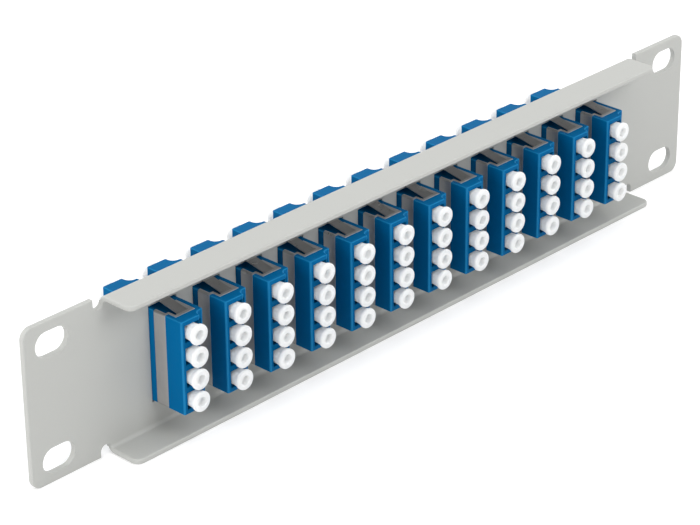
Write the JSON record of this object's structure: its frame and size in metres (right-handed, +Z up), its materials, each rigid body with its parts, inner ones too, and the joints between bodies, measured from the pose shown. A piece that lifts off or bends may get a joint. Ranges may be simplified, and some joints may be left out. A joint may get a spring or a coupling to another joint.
{
  "type": "fibre patch panel",
  "caption": "Small-rack fibre patch panel: folded grey sheet with slotted ears, holding a row of multi-port LC adapters with spring clips, and dust caps front and rear.",
  "frame": {"origin": "middle of the rack slot pattern, on the back face of the ears, which meets the rack", "axes": "+X along the panel to the right seen from the front, -Y towards the user, +Z up"},
  "size_m": [0.254, 0.0346, 0.044],
  "materials": {
    "panel_paint": "satin light grey powder coat",
    "adapter_plastic": "moulded blue plastic with a soft gloss",
    "clip_steel": "stamped spring steel with fine rolling lines",
    "cap_plastic": "soft white moulded plastic",
    "sleeve_ceramic": "ground white zirconia"
  },
  "bodies": {
    "root": {"panel": "panel_paint", "housing_front_01": "adapter_plastic", "housing_rear_01": "adapter_plastic", "spring_clip_01": "clip_steel", "front_dust_caps_01": "cap_plastic", "housing_front_02": "adapter_plastic", "housing_rear_02": "adapter_plastic", "spring_clip_02": "clip_steel", "front_dust_caps_02": "cap_plastic", "housing_front_03": "adapter_plastic", "housing_rear_03": "adapter_plastic", "spring_clip_03": "clip_steel", "front_dust_caps_03": "cap_plastic", "housing_front_04": "adapter_plastic", "housing_rear_04": "adapter_plastic", "spring_clip_04": "clip_steel", "front_dust_caps_04": "cap_plastic", "housing_front_05": "adapter_plastic", "housing_rear_05": "adapter_plastic", "spring_clip_05": "clip_steel", "front_dust_caps_05": "cap_plastic", "housing_front_06": "adapter_plastic", "housing_rear_06": "adapter_plastic", "spring_clip_06": "clip_steel", "front_dust_caps_06": "cap_plastic", "housing_front_07": "adapter_plastic", "housing_rear_07": "adapter_plastic", "spring_clip_07": "clip_steel", "front_dust_caps_07": "cap_plastic", "housing_front_08": "adapter_plastic", "housing_rear_08": "adapter_plastic", "spring_clip_08": "clip_steel", "front_dust_caps_08": "cap_plastic", "housing_front_09": "adapter_plastic", "housing_rear_09": "adapter_plastic", "spring_clip_09": "clip_steel", "front_dust_caps_09": "cap_plastic", "housing_front_10": "adapter_plastic", "housing_rear_10": "adapter_plastic", "spring_clip_10": "clip_steel", "front_dust_caps_10": "cap_plastic", "housing_front_11": "adapter_plastic", "housing_rear_11": "adapter_plastic", "spring_clip_11": "clip_steel", "front_dust_caps_11": "cap_plastic", "housing_front_12": "adapter_plastic", "housing_rear_12": "adapter_plastic", "spring_clip_12": "clip_steel", "front_dust_caps_12": "cap_plastic", "rear_dust_caps_1": "cap_plastic", "rear_dust_caps_2": "cap_plastic", "rear_dust_caps_3": "cap_plastic", "rear_dust_caps_4": "cap_plastic", "rear_dust_caps_5": "cap_plastic", "rear_dust_caps_6": "cap_plastic", "split_sleeves_1": "sleeve_ceramic", "split_sleeves_2": "sleeve_ceramic", "split_sleeves_3": "sleeve_ceramic"}
  },
  "joints": []
}
